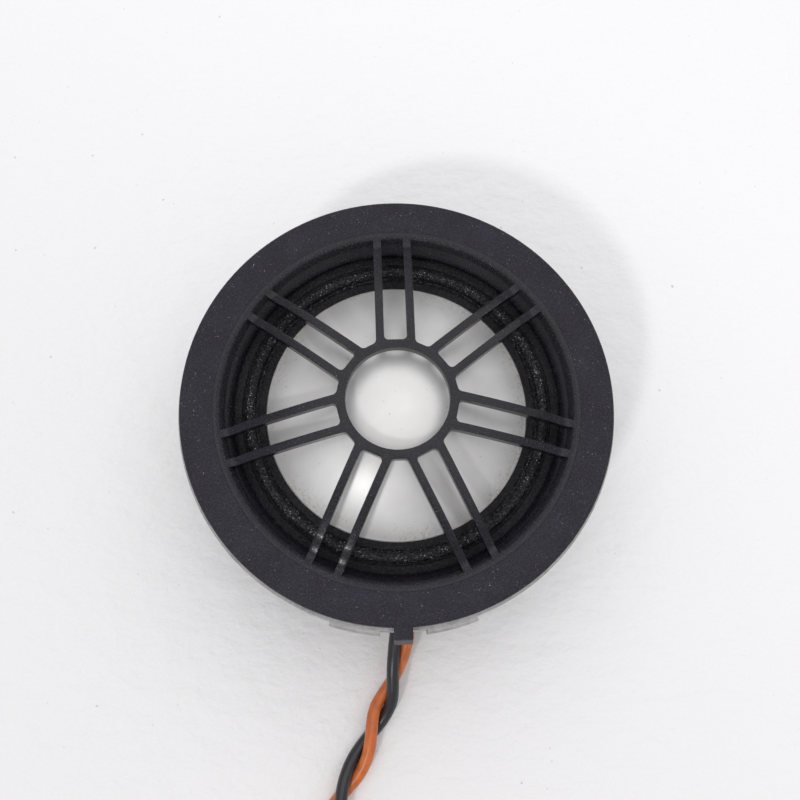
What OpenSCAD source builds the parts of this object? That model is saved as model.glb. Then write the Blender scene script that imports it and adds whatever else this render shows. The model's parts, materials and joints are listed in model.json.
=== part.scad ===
// Car tweeter: a 26 mm metal dome behind a seven-armed grille, in a cast mounting ring, with a
// plastic rear cover and a twisted two-wire lead. It lies on its rear cover and faces up, along +Z.
// The origin is the middle of the rear face. The lead leaves towards -Y.

/* [Front] */
// Outside diameter of the front flange
flange_d = 43; // [42.4:0.1:43.4]
// Thickness of the front flange
flange_t = 1.6; // [1.2:0.1:1.8]
// Height of the flange's front face above the rear face
front_z = 17.5; // [17.2:0.1:18]
// Diameter of the line where the flange meets the grille
grille_d = 36.4; // [36:0.1:37]
// Width of the moulding tab beside the lead
tab_w = 1.8; // [1.2:0.1:2.4]
// How far the tab stands out from the flange's edge
tab_l = 1.6; // [1:0.1:2]

/* [Grille] */
// Number of pairs of arms
arm_pairs = 7; // [5:1:8]
// Width of one arm
arm_w = 0.8; // [0.6:0.05:1]
// Distance between the middles of the two arms of a pair
arm_gap = 3.04; // [2.8:0.02:3.4]
// Depth of an arm, front to back
arm_t = 1.1; // [0.9:0.1:1.4]
// Diameter of the hole in the hub
hub_hole_d = 10.1; // [9:0.1:10.6]
// Distance across the flats of the hub
hub_flats = 11.8; // [11.6:0.1:12.6]
// Radius of the dome that the front of the arms follows
arm_arch_r = 47; // [44:1:50]

/* [Diaphragm] */
// Inside diameter of the voice coil's former
coil_d = 26; // [25.8:0.1:26.2]
// Height of the dome above its rim
dome_h = 4.6; // [4:0.1:4.8]
// Wall of the dome
dome_t = 0.25; // [0.2:0.05:0.3]
// Depth of the rim of the dome below the flange's front face
dome_drop = 3.3; // [3.2:0.05:3.4]

/* [Motor] */
// Outside diameter of the yoke cup
yoke_d = 30.6; // [30.4:0.1:30.8]
// Diameter of the magnet
magnet_d = 24.4; // [22:0.1:25]
// Height of the magnet
magnet_h = 4.9; // [4.9:0.1:5]

/* [Housing] */
// Outside diameter of the cast mounting ring
ring_d = 43.6; // [43.5:0.1:44]
// How far the two locating lugs stand out from the ring
lug_out = 0.45; // [0.3:0.05:0.6]
// Outside diameter of the rear cover
cover_d = 39; // [38.8:0.1:39.4]
// Number of cover screws
screw_count = 3; // [3:2:5]

/* [Lead] */
// Diameter of one insulated wire
wire_d = 1.33; // [1.3:0.01:1.36]

/* [Hidden] */
$fn = 96;

black_plastic = [0.20, 0.19, 0.21];
cast_grey = [0.66, 0.65, 0.65];
orange_pvc = [0.80, 0.38, 0.17];
black_pvc = [0.16, 0.16, 0.17];

// Heights of the stack, from the rear face up
flange_r = flange_d / 2;
flange_back_z = front_z - flange_t;
grille_r = grille_d / 2;
bowl_top_r = 17.45;          // where the bowl starts in the front face
bowl_low_r = 16.36;          // where the bowl ends above the surround
seat_z = front_z - 2.55;     // front of the surround's outer land
seat_r = 17.3;               // outside of the wall under it
cloth_t = 0.28;              // the surround's formed cloth
cover_floor = 1.6;
yoke_floor = 1.8;
web_low_z = 8.4;
web_top_z = 10.6;
plate_t = 2.2;
magnet_z = cover_floor + yoke_floor;
plate_z = magnet_z + magnet_h;
yoke_top_z = plate_z + plate_t;
rim_z = front_z - dome_drop; // front of the dome's flat rim
rim_t = 0.25;
slit = 0.02;                 // sliver of room between faces that only look at each other

// Circle through the dome's rim and apex, and the arms' arch
coil_r = coil_d / 2;
former_t = 0.15;
dome_r = coil_r + former_t + 0.05;
dome_ball_r = (dome_r * dome_r + dome_h * dome_h) / (2 * dome_h);
dome_ball_z = rim_z + dome_h - dome_ball_r;
arch_start_r = bowl_top_r;
function arch_z(r) = front_z + (arch_start_r * arch_start_r - r * r) / (2 * arm_arch_r);

ring_r = ring_d / 2;
ring_wall = 1.3;
ledge_r = 15.7;              // inside of the wall that carries the surround
cover_r = cover_d / 2;
cover_wall = 1.2;
post_r = 1.4;
post_at = 16.85;             // screw posts' distance from the axis
screw_r = 0.9;
first_screw = 90;

// Terminals sit between the yoke and the cover, on the lead's side
board = [9, 0.8, 4.4];
board_y = -15.4;
tag_x = 2.6;
tag = [1.9, 0.4, 3.4];
tag_z = 4.3;
exit_y = -20.8;              // outer face of the strain relief
exit_z = 4.2;
pair_x = 0.7;                // the two wires' distance from the middle of the strain relief

// The lead: two wires twisted round each other, as one round tube
pair_r = wire_d;
lead_route = [[0, -20.8, 4.2], [0, -21.9, 4.2], [-0.3, -23.5, 3.8], [-0.7, -25.2, 3.2],
              [-1.1, -26.8, 2.5], [-1.7, -28.3, 1.9], [-2.4, -29.6, 1.6], [-3.2, -31.3, 1.5],
              [-4.2, -33.4, 1.5], [-5.4, -35.6, 1.5], [-6.6, -37.7, 1.5], [-7.8, -40.3, 1.5],
              [-9.3, -43.6, 1.5], [-10.7, -47.3, 1.6], [-12.1, -51.2, 1.7]];
coil_at = [0, -62];
lane_r = 15;                 // middle of the outer lane of the coil
lane_step = 2.7;             // lanes lie this far apart
coil_low_z = 0.4;            // the coil rests on its tie
end_route = [[-3.4, -75.5, 4.3], [-1, -76.6, 4.5], [1.4, -77.6, 4.4], [3.6, -78.4, 3.8], [5.6, -79, 2.8],
             [7.6, -79.4, 2.2], [9.6, -79.4, 2.2]];
plug_at = [9.6, -79.4];      // the plug lies beside the coil and points along +X
plug_turn = -90;
plug = [7.6, 12.4, 4.4];

// Points of an arc, from angle a to angle b
function arc(cx, cy, r, a, b, n) = [for (i = [0:n]) let (t = a + (b - a) * i / n)
    [cx + r * cos(t), cy + r * sin(t)]];

function unit(v) = v / norm(v);
function heading(p, i) = unit(p[min(i + 1, len(p) - 1)] - p[max(i - 1, 0)]);

// A round tube along a route, as rings of corners joined by triangles
module sweep(route, r, sides) {
    last = len(route) - 1;
    rings = [for (i = [0:last]) let (d = heading(route, i), side = unit(cross(d, [0.1, 0.2, 1])),
        up = cross(side, d)) for (k = [0:sides - 1]) let (t = 360 * k / sides)
            route[i] + r * (cos(t) * side + sin(t) * up)];
    walls = [for (i = [0:last - 1], k = [0:sides - 1], half = [0, 1])
        let (n = (k + 1) % sides, here = i * sides, next = here + sides)
        half == 0 ? [here + k, next + k, next + n] : [here + k, next + n, here + n]];
    polyhedron(points = rings, faces = concat(walls, [[for (k = [0:sides - 1]) k]],
        [[for (k = [sides - 1:-1:0]) last * sides + k]]), convexity = 6);
}

module at_screws() {
    for (i = [0:screw_count - 1]) rotate(first_screw + i * 360 / screw_count)
        translate([post_at, 0, 0]) children();
}

// ---- Front ----

module front_flange() {
    skirt_r = ring_r - ring_wall - 0.2;
    edge = 0.3;
    color(black_plastic) union() {
        rotate_extrude() polygon(concat(
            [[grille_r + slit, flange_back_z], [grille_r + slit, front_z - 0.15], [grille_r + 0.15, front_z]],
            arc(flange_r - edge, front_z - edge, edge, 90, 0, 5),
            [[flange_r, flange_back_z], [skirt_r, flange_back_z], [skirt_r, flange_back_z - 2.6],
             [skirt_r - 0.25, flange_back_z - 2.9], [skirt_r - 1, flange_back_z - 2.9],
             [skirt_r - 1, flange_back_z]]));
        translate([-tab_w / 2 - 0.1, -flange_r, 0]) rotate([90, 0, 90]) linear_extrude(tab_w)
            polygon([[1, flange_back_z], [1, front_z], [-tab_l + 0.4, front_z], [-tab_l, flange_back_z]]);
    }
}

// The hub and the arms seen from the front
module grille_plan() {
    sides = 2 * arm_pairs;
    turn = 360 / sides;
    flat_r = hub_flats / 2;
    arm_end_r = grille_r - 0.4;
    polygon([for (i = [0:sides - 1]) flat_r / cos(turn / 2)
        * [cos(90 + (i + 0.5) * turn), sin(90 + (i + 0.5) * turn)]]);
    for (i = [0:arm_pairs - 1], s = [-1, 1]) rotate(90 + i * 2 * turn)
        translate([flat_r - 0.6, s * arm_gap / 2 - arm_w / 2]) square([arm_end_r - flat_r + 0.6, arm_w]);
}

module grille() {
    kink_r = 16.2;           // the arms run level with the flange outside this radius
    ramp_r = 15.2;           // and follow the arch inside this one
    level_z = front_z - 0.03;
    hub_in = hub_hole_d / 2;
    steps = 9;
    front = [for (i = [0:steps]) let (r = hub_in - 0.2 + (ramp_r - hub_in + 0.2) * i / steps) [r, arch_z(r)]];
    back = [for (i = [steps:-1:0]) [front[i][0], front[i][1] - arm_t]];
    color(black_plastic) difference() {
        union() {
            rotate_extrude() polygon(concat(
                [[grille_r, front_z], [bowl_top_r + 0.25, front_z]],
                arc(bowl_top_r + 0.22, front_z - 0.22, 0.22, 90, 165, 4),
                [[bowl_low_r, seat_z + 0.3], [bowl_low_r + 0.1, seat_z], [seat_r, seat_z],
                 [seat_r, flange_back_z], [grille_r, flange_back_z]]));
            intersection() {
                translate([0, 0, seat_z]) linear_extrude(8) grille_plan();
                rotate_extrude() polygon(concat(front,
                    [[kink_r, level_z], [grille_r - 0.2, level_z], [grille_r - 0.2, level_z - arm_t],
                     [kink_r, level_z - arm_t]], back));
            }
        }
        translate([0, 0, front_z]) cylinder(d = hub_hole_d, h = 8, center = true);
    }
}

// ---- Mounting ring ----

module mounting_ring() {
    web_in = yoke_d / 2;
    lug_z = web_top_z + 0.4;
    lug_h = flange_back_z - lug_z - 0.5;
    lug_angles = [-109, -84];
    lug_turn = 13;
    color(cast_grey) difference() {
        union() {
            rotate_extrude() polygon([[web_in, web_low_z], [ring_r - 0.5, web_low_z],
                [ring_r, web_low_z + 0.5], [ring_r, flange_back_z], [ring_r - ring_wall, flange_back_z],
                [ring_r - ring_wall, web_top_z], [seat_r, web_top_z], [seat_r, seat_z - cloth_t],
                [ledge_r, seat_z - cloth_t], [ledge_r, web_top_z], [web_in, web_top_z]]);
            for (a = lug_angles) rotate(a) translate([0, 0, lug_z]) rotate_extrude(angle = lug_turn)
                polygon([[ring_r - 0.4, 0], [ring_r + lug_out - 0.3, 0], [ring_r + lug_out, 0.3],
                    [ring_r + lug_out, lug_h - 0.2], [ring_r + lug_out - 0.2, lug_h], [ring_r - 0.4, lug_h]]);
            at_screws() translate([0, 0, cover_floor])
                cylinder(r = post_r, h = web_low_z + 0.2 - cover_floor, $fn = 48);
        }
        at_screws() translate([0, 0, cover_floor - 1]) cylinder(r = screw_r, h = 6.4, $fn = 48);
        // the way of the voice coil's leads, out of the ledge wall and down through the web
        for (s = [-1, 1]) translate([s * tag_x - 0.7, -17.6, 11]) cube([1.4, 2.6, 2.2]);
        translate([-tag_x - 0.9, -18.5, web_low_z - 1]) cube([2 * tag_x + 1.8, 1.2, 4]);
    }
}

// ---- Diaphragm ----

module surround() {
    land = seat_z;
    low = rim_z + cloth_t;   // front of the inner land, glued on the dome's rim
    front = concat([[dome_r, low], [13.9, low]],
        [[14, low - 0.1], [14.15, low - 0.15], [14.3, low - 0.02]],
        arc(14.82, seat_z - 0.12, 0.5, 170, 10, 8),
        [[15.35, land - 0.22], [15.5, land - 0.12], [15.65, land], [17.2, land]]);
    back = [for (i = [len(front) - 1:-1:0]) [front[i][0], front[i][1] - cloth_t]];
    color([0.13, 0.12, 0.14]) rotate_extrude() polygon(concat(front, back));
}

module dome() {
    edge_a = asin(dome_r / dome_ball_r);
    low_a = asin((dome_r - 0.2) / (dome_ball_r - dome_t));
    function on_ball(r, a) = [r * sin(a), dome_ball_z + r * cos(a)];
    outer = [for (i = [0:16]) on_ball(dome_ball_r, edge_a * i / 16)];
    inner = [for (i = [16:-1:0]) on_ball(dome_ball_r - dome_t, low_a * i / 16)];
    color([0.86, 0.86, 0.85]) rotate_extrude() polygon(concat(outer,
        [[dome_r + 0.65, rim_z], [dome_r + 0.65, rim_z - rim_t], [dome_r - 0.2, rim_z - rim_t]], inner));
}

module voice_coil_former() {
    color([0.72, 0.50, 0.22]) difference() {
        translate([0, 0, 7.9]) cylinder(r = coil_r + former_t, h = rim_z - rim_t - 7.9);
        translate([0, 0, 7]) cylinder(r = coil_r, h = 10);
    }
}

module voice_coil_winding() {
    color([0.78, 0.42, 0.18]) translate([0, 0, 8.3]) difference() {
        cylinder(r = coil_r + former_t + 0.35, h = 2.7);
        translate([0, 0, -1]) cylinder(r = coil_r + former_t, h = 5);
    }
}

// ---- Motor ----

module top_plate() {
    color([0.62, 0.63, 0.65]) translate([0, 0, plate_z]) cylinder(r = coil_r - 0.25, h = plate_t);
}

module magnet() {
    color([0.74, 0.75, 0.77]) translate([0, 0, magnet_z]) cylinder(d = magnet_d, h = magnet_h);
}

module yoke_cup() {
    gap_r = coil_r + former_t + 0.35 + 0.3;
    color([0.60, 0.61, 0.62]) difference() {
        translate([0, 0, cover_floor]) cylinder(d = yoke_d, h = yoke_top_z - cover_floor);
        translate([0, 0, magnet_z]) cylinder(r = gap_r, h = 20);
    }
}

module damping_pad() {
    color([0.30, 0.30, 0.31]) translate([0, 0, yoke_top_z]) cylinder(r1 = 8.5, r2 = 8, h = 1.6);
}

// ---- Rear cover ----

module rear_cover() {
    inner_r = cover_r - cover_wall;
    color(black_plastic) difference() {
        union() {
            rotate_extrude() polygon([[0, 0], [cover_r - 0.6, 0], [cover_r, 0.6], [cover_r, web_low_z],
                [inner_r, web_low_z], [inner_r, cover_floor], [0, cover_floor]]);
            for (i = [0:23]) rotate(7.5 + i * 15) if (abs(i * 15 + 7.5 - 270) > 12)
                translate([cover_r - 0.3, -0.4, 1]) cube([0.6, 0.8, web_low_z - 1.6]);
        }
        at_screws() {
            translate([0, 0, -1]) cylinder(r = screw_r + 0.2, h = 5, $fn = 48);
            translate([0, 0, -1]) cylinder(r = 1.75, h = 1.9, $fn = 48);
        }
        translate([-1.9, -cover_r - 1, exit_z - 1.2]) cube([3.8, 3.2, 2.4]);
    }
}

module cover_screws() {
    color([0.35, 0.35, 0.37]) at_screws() difference() {
        union() {
            translate([0, 0, 0.2]) cylinder(r = 1.55, h = 0.7, $fn = 48);
            translate([0, 0, 0.2]) cylinder(r = screw_r, h = 6, $fn = 48);
        }
        for (a = [0, 90]) rotate(a) translate([-0.9, -0.18, -0.1]) cube([1.8, 0.36, 0.7]);
    }
}

// ---- Terminals ----

module terminal_board() {
    color([0.45, 0.30, 0.16]) translate([-board[0] / 2, board_y - board[1], 3.8]) cube(board);
}

module tag_at(s) {
    translate([s * tag_x - tag[0] / 2, board_y - board[1] - tag[1], tag_z]) cube(tag);
}

module terminal_tag_plus() { color([0.80, 0.78, 0.70]) tag_at(1); }
module terminal_tag_minus() { color([0.80, 0.78, 0.70]) tag_at(-1); }

module board_rivets() {
    color([0.75, 0.66, 0.40]) for (s = [-1, 1]) translate([s * 4, board_y - board[1], 6]) rotate([90, 0, 0])
        cylinder(r = 0.35, h = 0.25, $fn = 24);
}

module lead_out(s) {
    bends = [[-13.35, 12.6], [-13.9, 12.3], [-14.6, 12.0], [-15.6, 12.0], [-16.6, 12.1], [-17.4, 11.9],
             [-17.8, 11.3], [-17.9, 10.4], [-17.8, 9.2], [-17.4, 8.3], [-16.98, 7.5]];
    route = [for (b = bends) [s * tag_x, b[0], b[1]]];
    color([0.80, 0.62, 0.40]) sweep(route, 0.2, 8);
}

module lead_out_plus() { lead_out(1); }
module lead_out_minus() { lead_out(-1); }

module solder_joints() {
    color([0.82, 0.83, 0.85]) for (s = [-1, 1]) {
        for (z = [6.45, 7.3]) translate([s * tag_x, board_y - board[1] - tag[1], z]) rotate([90, 0, 0])
            cylinder(r1 = 0.4, r2 = 0.25, h = 0.15, $fn = 24);
    }
}

// ---- Lead ----

module strain_relief() {
    color(black_pvc) difference() {
        union() {
            translate([-1.88, -cover_r - 0.3, exit_z - 1.18]) cube([3.76, cover_wall + 0.2, 2.36]);
            translate([-2.3, exit_y, exit_z - 1.5]) cube([4.6, -cover_r - 0.1 - exit_y, 3]);
        }
        for (s = [-1, 1]) translate([s * pair_x, -17, exit_z]) rotate([90, 0, 0])
            cylinder(d = wire_d, h = 6, $fn = 48);
    }
}

module inner_wire(s) {
    route = [[s * 2.6, -17.28, 5.9], [s * 2.5, -17.28, 5.1], [s * 1.95, -17.3, 4.4], [s * 1.2, -17.4, 4.2],
             [s * 0.8, -17.8, 4.2], [s * pair_x, -18.35, exit_z], [s * pair_x, -19.5, exit_z],
             [s * pair_x, exit_y, exit_z]];
    sweep(route, wire_d / 2 - 0.03, 8);
}

module inner_wire_orange() { color(orange_pvc) inner_wire(1); }
module inner_wire_black() { color(black_pvc) inner_wire(-1); }

module wire_pair() { color(orange_pvc) sweep(lead_route, pair_r, 8); }

// Two lanes side by side and part of a third in the groove on top of them
module wire_coil() {
    out_r = lane_r + pair_r;
    in_r = lane_r - lane_step - pair_r;
    mid_r = (out_r + in_r) / 2;
    low = coil_low_z;
    color(orange_pvc) translate([coil_at[0], coil_at[1], 0]) rotate_extrude() polygon(concat(
        [[in_r + 0.7, low], [out_r - 0.7, low], [out_r, low + 0.8], [out_r, low + 1.9]],
        [[mid_r + 1.35, low + 4.2], [mid_r + 0.7, low + 5], [mid_r - 0.7, low + 5], [mid_r - 1.35, low + 4.2]],
        [[in_r, low + 1.9], [in_r, low + 0.8]]));
}

module wire_end() { color(orange_pvc) sweep(end_route, pair_r, 8); }

module coil_tie() {
    tie_w = 1.6;
    mid_r = lane_r - lane_step / 2;
    half = lane_step / 2 + pair_r;
    band = 0.4;
    module outline(grow) {
        polygon([[-half + 0.7 - grow, coil_low_z - grow], [half - 0.7 + grow, coil_low_z - grow],
            [half + grow, coil_low_z + 0.8], [half + grow, coil_low_z + 1.9 + grow / 2],
            [1.35 + grow, coil_low_z + 4.2 + grow / 2], [0.7 + grow / 2, coil_low_z + 5 + grow],
            [-0.7 - grow / 2, coil_low_z + 5 + grow], [-1.35 - grow, coil_low_z + 4.2 + grow / 2],
            [-half - grow, coil_low_z + 1.9 + grow / 2], [-half - grow, coil_low_z + 0.8]]);
    }
    color([0.12, 0.12, 0.13]) translate([coil_at[0], coil_at[1], 0]) rotate(205)
        translate([mid_r, tie_w / 2, 0]) rotate([90, 0, 0]) {
            linear_extrude(tie_w) difference() { outline(band); outline(0); }
            translate([half + band, coil_low_z + 0.6, -0.4]) cube([1.6, 2, tie_w + 0.8]);
        }
}

// ---- Connector on the end of the lead ----

module at_plug() {
    translate([plug_at[0], plug_at[1], 0]) rotate(plug_turn) children();
}

module connector_housing() {
    color([0.14, 0.14, 0.15]) at_plug() difference() {
        union() {
            translate([-plug[0] / 2, 0, 0]) cube(plug);
            translate([-1.4, 4, plug[2]]) rotate([90, 0, 90]) linear_extrude(2.8)
                polygon([[0, 0], [5.6, 0], [5.6, 0.5], [3.6, 1.1], [3.2, 1.1], [3.2, 0.5], [0, 0.5]]);
        }
        for (s = [-1, 1]) {
            translate([s * 1.8 - 1.2, 5.6, 1]) cube([2.4, 8, 2.4]);
            translate([s * 1.8, -1, 2.2]) rotate([-90, 0, 0]) cylinder(d = 2.2, h = 8, $fn = 32);
        }
        translate([-plug[0] / 2 - 1, 2.4, 3.4]) cube([plug[0] + 2, 2, 0.5]);
    }
}

module connector_contacts() {
    color([0.83, 0.80, 0.68]) at_plug() for (s = [-1, 1]) difference() {
        union() {
            translate([s * 1.8 - 0.9, 5.7, 1.3]) cube([1.8, 5.4, 1.8]);
            translate([s * 1.8, 0.8, 2.2]) rotate([-90, 0, 0]) cylinder(d = 1.6, h = 5.2, $fn = 32);
        }
        translate([s * 1.8 - 0.45, 7.4, 1.75]) cube([0.9, 5, 0.9]);
    }
}

module connector_lock() {
    color([0.62, 0.62, 0.60]) at_plug() translate([-plug[0] / 2 - 0.3, 2.45, 3.42])
        cube([plug[0] + 0.6, 1.9, 0.46]);
}

front_flange();
grille();
mounting_ring();
surround();
dome();
voice_coil_former();
voice_coil_winding();
top_plate();
magnet();
yoke_cup();
damping_pad();
rear_cover();
cover_screws();
terminal_board();
terminal_tag_plus();
terminal_tag_minus();
board_rivets();
lead_out_plus();
lead_out_minus();
solder_joints();
strain_relief();
inner_wire_orange();
inner_wire_black();
wire_pair();
wire_coil();
wire_end();
coil_tie();
connector_housing();
connector_contacts();
connector_lock();
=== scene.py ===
# %% [markdown]
# # A car tweeter, face up on a pale table
# The loudspeaker is 43 mm across. A black moulded flange and a seven-armed grille sit in front of a
# metal dome, behind them are a grey cast ring and a black rear cover, and a twisted orange and black
# lead comes out underneath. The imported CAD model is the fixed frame: every size and place below is
# read from it or repeats one of its driving dimensions, in millimetres, so nothing has to be fitted.

# %% Load the frame
import json
import math
import bmesh
import bpy
from mathutils import Matrix, Vector

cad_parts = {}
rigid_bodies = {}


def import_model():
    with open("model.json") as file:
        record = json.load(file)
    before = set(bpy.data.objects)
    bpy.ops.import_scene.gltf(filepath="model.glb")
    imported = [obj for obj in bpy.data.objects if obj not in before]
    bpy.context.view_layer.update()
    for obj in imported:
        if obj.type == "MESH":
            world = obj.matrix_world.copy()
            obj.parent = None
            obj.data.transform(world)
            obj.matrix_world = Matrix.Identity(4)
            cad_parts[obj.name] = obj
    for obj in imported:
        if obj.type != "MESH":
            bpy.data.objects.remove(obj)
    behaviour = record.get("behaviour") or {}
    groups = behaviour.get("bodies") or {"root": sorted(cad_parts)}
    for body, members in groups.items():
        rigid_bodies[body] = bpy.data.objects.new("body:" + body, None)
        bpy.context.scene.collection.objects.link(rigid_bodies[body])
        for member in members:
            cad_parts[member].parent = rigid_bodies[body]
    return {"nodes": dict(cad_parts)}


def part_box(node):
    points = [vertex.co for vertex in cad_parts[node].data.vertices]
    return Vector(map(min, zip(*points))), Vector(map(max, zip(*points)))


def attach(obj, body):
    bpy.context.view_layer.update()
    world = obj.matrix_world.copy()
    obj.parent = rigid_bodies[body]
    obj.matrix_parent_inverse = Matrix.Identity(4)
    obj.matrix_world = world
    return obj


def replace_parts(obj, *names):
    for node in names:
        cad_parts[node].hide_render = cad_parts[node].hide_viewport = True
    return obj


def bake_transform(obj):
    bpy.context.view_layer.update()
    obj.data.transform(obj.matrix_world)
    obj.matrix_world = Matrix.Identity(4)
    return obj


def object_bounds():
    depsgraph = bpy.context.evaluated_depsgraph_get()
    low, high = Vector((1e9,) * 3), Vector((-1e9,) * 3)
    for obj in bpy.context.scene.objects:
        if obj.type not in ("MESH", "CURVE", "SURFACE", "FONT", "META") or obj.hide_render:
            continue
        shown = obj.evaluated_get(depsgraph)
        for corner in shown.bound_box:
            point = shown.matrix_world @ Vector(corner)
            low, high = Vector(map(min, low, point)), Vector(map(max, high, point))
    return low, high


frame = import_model()
cad_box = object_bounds()
MM = 0.001


def mm(x, y, z):
    """A place given in millimetres, in metres."""
    return Vector((x, y, z)) * MM


def top_of(node):
    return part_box(node)[1].z / MM


def radius_of(node):
    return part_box(node)[1].x / MM


def placed(name, data):
    """A new object in the scene, at the origin."""
    thing = bpy.data.objects.new(name, data)
    bpy.context.scene.collection.objects.link(thing)
    return thing


front_z = 17.5
flange_r, grille_r = radius_of("front_flange"), radius_of("grille")

# %% [markdown]
# ## Camera
# The camera comes first, because the lead has to know where the view ends. It looks almost straight
# down: tilted 13.5 degrees from the vertical towards the lead, with a little turn and roll, from about
# 105 mm away. Building it from those few angles is easier to read than a matrix of sixteen numbers.

# %% Camera
TURN, TILT, ROLL = (math.radians(a) for a in (-6.155, 13.489, 4.395))
AWAY = 105.49
camera = placed("Camera", bpy.data.cameras.new("Camera"))
bpy.context.scene.camera = camera
camera.data.lens = 48.05
camera.data.sensor_width = 36
camera.data.clip_start = 0.001
look_at = mm(0.291, 0.491, front_z)
camera.matrix_world = (Matrix.Translation(look_at) @ Matrix.Rotation(TURN, 4, "Z")
                       @ Matrix.Rotation(TILT, 4, "X") @ Matrix.Rotation(ROLL, 4, "Z")
                       @ Matrix.Translation(mm(0, 0, AWAY)))
print("camera at", [round(c / MM, 1) for c in camera.matrix_world.translation], "mm")

# %% [markdown]
# ## Finishes as expressions
# A finish is a node tree, but it reads better as arithmetic. `Value` wraps one output socket and
# turns Python's operators into Math nodes; `Finish.node` makes every other kind of node. Patterns
# read Object coordinates in metres, so a grain of 0.1 mm is a noise of scale 10 000.

# %% A socket with operators
class Value:
    """One output of a shader node, with Python's operators as Math nodes."""

    def __init__(self, finish, socket):
        self.finish, self.socket = finish, socket

    def op(self, operation, a, b):
        return self.finish.node("ShaderNodeMath", {"operation": operation}, {0: a, 1: b})

    def __add__(self, other):
        return self.op("ADD", self, other)

    def __sub__(self, other):
        return self.op("SUBTRACT", self, other)

    def __mul__(self, other):
        return self.op("MULTIPLY", self, other)

    def __rsub__(self, other):
        return self.op("SUBTRACT", other, self)

    __radd__ = __add__
    __rmul__ = __mul__

    def above(self, low, high):
        """0 below low, 1 above high and a smooth step between them."""
        return self.finish.node("ShaderNodeMapRange", {"interpolation_type": "SMOOTHSTEP"},
                                {"Value": self, "From Min": low, "From Max": high})


def join(tree, socket, value):
    """Links a value that varies to the socket, or sets one that doesn't."""
    if isinstance(value, Value):
        value = value.socket
    if isinstance(value, bpy.types.NodeSocket):
        tree.links.new(value, socket)
    else:
        socket.default_value = value


def new_node(tree, kind, settings, values):
    """Any node: its settings first, then the values or links of its sockets."""
    node = tree.nodes.new(kind)
    for key, value in dict(settings).items():
        setattr(node, key, value)
    for key, value in dict(values).items():
        join(tree, node.inputs[key], value)
    return node


class Finish:
    """A material on the Principled shader, whose varying values are written as expressions."""

    def __init__(self, name, colour, rough, metal=0.0, **fixed):
        self.material = bpy.data.materials.new(name)
        self.material.use_nodes = True
        self.material.diffuse_color = (*colour, 1)
        self.tree = self.material.node_tree
        self.shader = next(n for n in self.tree.nodes if n.type == "BSDF_PRINCIPLED")
        self.feed("Base Color", (*colour, 1))
        self.feed("Roughness", rough)
        self.feed("Metallic", metal)
        for socket, value in fixed.items():
            self.feed(socket.replace("_", " "), value)
        self.place = self.node("ShaderNodeTexCoord", out="Object")

    def node(self, kind, settings=(), values=(), out=0):
        return Value(self, new_node(self.tree, kind, settings, values).outputs[out])

    def feed(self, socket, value):
        join(self.tree, self.shader.inputs[socket], value)

    def stretched(self, scale):
        return self.node("ShaderNodeMapping", {}, {"Vector": self.place, "Scale": scale})

    def noise(self, scale, detail=2.0, rough=0.5, place=None):
        return self.node("ShaderNodeTexNoise", {}, {"Vector": place or self.place, "Scale": scale,
                                                    "Detail": detail, "Roughness": rough})

    def cells(self, scale):
        """Distance to the nearest of many scattered points, as for specks and pits."""
        return self.node("ShaderNodeTexVoronoi", {}, {"Vector": self.place, "Scale": scale})

    def mix(self, factor, a, b):
        def solid(c):
            return c if isinstance(c, Value) else (*c, 1)
        return self.node("ShaderNodeMix", {"data_type": "RGBA"}, {0: factor, 6: solid(a), 7: solid(b)}, out=2)

    def bump(self, height, depth):
        """Height from 0 to 1 pushes the surface out by depth, in millimetres."""
        self.feed("Normal", self.node("ShaderNodeBump", {}, {"Height": height, "Distance": depth * MM,
                                                             "Strength": 1.0}))

    def radius(self):
        """Distance from the loudspeaker's axis, in metres."""
        flat = self.node("ShaderNodeVectorMath", {"operation": "MULTIPLY"}, {0: self.place, 1: (1, 1, 0)})
        return self.node("ShaderNodeVectorMath", {"operation": "LENGTH"}, {0: flat}, out="Value")

    def along(self, axis):
        return self.node("ShaderNodeSeparateXYZ", {}, {0: self.place}, out=axis)


def toned(colour, *shares):
    """Darker or paler versions of one colour."""
    return [[min(c * share, 1) for c in colour] for share in shares]


print("finishes are written with Value and Finish")

# %% [markdown]
# ## The lead
# Two soft insulated wires, 1.33 mm thick, are twisted round each other with a pitch of about 12 mm.
# They leave the strain relief side by side, drop to the table in a lazy curve, and the rest of their
# length lies in a small coil past the edge of the view, ending in a two-way plug. First comes one
# smooth line for the middle of the pair. Each wire is then that line plus an offset that turns round
# it, which is how a real twisted pair is made. A curve object with a round bevel keeps the length
# measurable.

# %% The middle of the pair
WIRE_D = 1.33
EXIT = (0, -20.8, 4.2)
lead_route = [EXIT, (0, -21.9, 4.2), (-0.3, -23.5, 3.8), (-0.7, -25.2, 3.2), (-1.1, -26.8, 2.5),
              (-1.7, -28.3, 1.9), (-2.4, -29.6, 1.6), (-3.2, -31.3, 1.5), (-4.2, -33.4, 1.5),
              (-5.4, -35.6, 1.5), (-6.6, -37.7, 1.5), (-7.8, -40.3, 1.5), (-9.3, -43.6, 1.5),
              (-10.7, -47.3, 1.6), (-12.1, -51.2, 1.7)]
COIL_AT = (0, -62)
LANE_R, LANE_STEP, LANE_Z = 15, 2.7, 1.73
end_route = [(-3.4, -75.5, 4.3), (-1, -76.6, 4.5), (1.4, -77.6, 4.4), (3.6, -78.4, 3.8),
             (5.6, -79, 2.8), (7.6, -79.4, 2.2), (10.4, -79.4, 2.2)]
PLUG_HOLE = 1.8
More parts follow.
